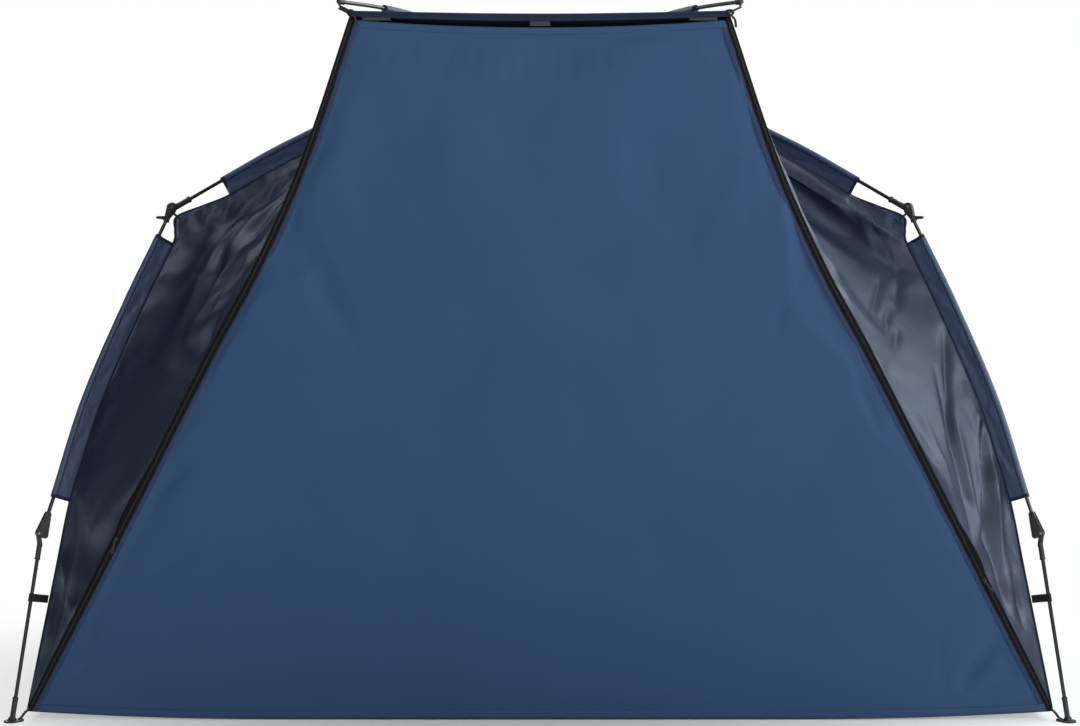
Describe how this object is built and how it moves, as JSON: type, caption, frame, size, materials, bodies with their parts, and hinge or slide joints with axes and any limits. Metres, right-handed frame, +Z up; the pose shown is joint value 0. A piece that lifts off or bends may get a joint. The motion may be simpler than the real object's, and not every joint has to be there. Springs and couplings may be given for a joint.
{
  "type": "beach tent",
  "caption": "Hub-frame beach tent with a zipped front door, tensioned skin, rods in outer sleeves, awning arms and folding lower legs.",
  "frame": {"origin": "centre of the groundsheet's underside, straight under the hub, where the tent rests on the ground", "axes": "+Z up, front door towards -Y, +X to the right of someone who looks at the door"},
  "size_m": [2.7, 2.0225, 1.8037],
  "materials": {
    "navy_cloth": "matt navy woven polyester",
    "coated_cloth": "thin dark blue coated polyester with a soft sheen",
    "groundsheet_cloth": "dark laminated groundsheet cloth",
    "fibreglass": "black pultruded fibreglass rod",
    "black_plastic": "moulded black plastic with a fine grain",
    "black_webbing": "black woven tape"
  },
  "bodies": {
    "root": {"hub": "black_plastic", "crown_patch": "navy_cloth", "awning_pole_left": "fibreglass", "awning_pole_right": "fibreglass", "awning_sleeve_left": "navy_cloth", "awning_sleeve_right": "navy_cloth", "canopy": "navy_cloth", "wing_left": "coated_cloth", "wing_right": "coated_cloth", "side_wall_left": "navy_cloth", "side_wall_right": "navy_cloth", "rear_wall": "navy_cloth", "groundsheet": "groundsheet_cloth", "roof_pole_front_left": "fibreglass", "roof_pole_front_right": "fibreglass", "roof_pole_rear_left": "fibreglass", "roof_pole_rear_right": "fibreglass", "knee_front_left": "black_plastic", "knee_front_right": "black_plastic", "knee_rear_left": "black_plastic", "knee_rear_right": "black_plastic", "upper_leg_front_left": "fibreglass", "upper_leg_front_right": "fibreglass", "upper_leg_rear_left": "fibreglass", "upper_leg_rear_right": "fibreglass", "leg_hinge_front_left": "black_plastic", "leg_hinge_front_right": "black_plastic", "leg_hinge_rear_left": "black_plastic", "leg_hinge_rear_right": "black_plastic", "ridge_sleeve_front_left": "navy_cloth", "ridge_sleeve_front_right": "navy_cloth", "ridge_sleeve_rear_left": "navy_cloth", "ridge_sleeve_rear_right": "navy_cloth"},
    "front_door": {"front_door": "navy_cloth"},
    "lower_leg_front_left": {"lower_leg_front_left": "fibreglass", "foot_front_left": "black_plastic", "leg_strap_front_left": "black_webbing"},
    "lower_leg_front_right": {"lower_leg_front_right": "fibreglass", "foot_front_right": "black_plastic", "leg_strap_front_right": "black_webbing"},
    "lower_leg_rear_left": {"lower_leg_rear_left": "fibreglass", "foot_rear_left": "black_plastic", "leg_strap_rear_left": "black_webbing"},
    "lower_leg_rear_right": {"lower_leg_rear_right": "fibreglass", "foot_rear_right": "black_plastic", "leg_strap_rear_right": "black_webbing"}
  },
  "joints": [
    {"name": "door_fold", "type": "hinge", "parent": "root", "child": "front_door", "pos_m": [0, -0.8219, 0.0037], "axis": [1, 0, 0], "range_deg": [0, 79.5]},
    {"name": "leg_fold_front_left", "type": "hinge", "parent": "root", "child": "lower_leg_front_left", "pos_m": [-1.27321, -0.81371, 0.4725], "axis": [-0.5385, 0.8426, 0], "range_deg": [0, 180]},
    {"name": "leg_fold_front_right", "type": "hinge", "parent": "root", "child": "lower_leg_front_right", "pos_m": [1.27321, -0.81371, 0.4725], "axis": [-0.5385, -0.8426, 0], "range_deg": [0, 180]},
    {"name": "leg_fold_rear_left", "type": "hinge", "parent": "root", "child": "lower_leg_rear_left", "pos_m": [-1.27321, 0.81371, 0.4725], "axis": [0.5385, 0.8426, 0], "range_deg": [0, 180]},
    {"name": "leg_fold_rear_right", "type": "hinge", "parent": "root", "child": "lower_leg_rear_right", "pos_m": [1.27321, 0.81371, 0.4725], "axis": [0.5385, -0.8426, 0], "range_deg": [0, 180]}
  ]
}
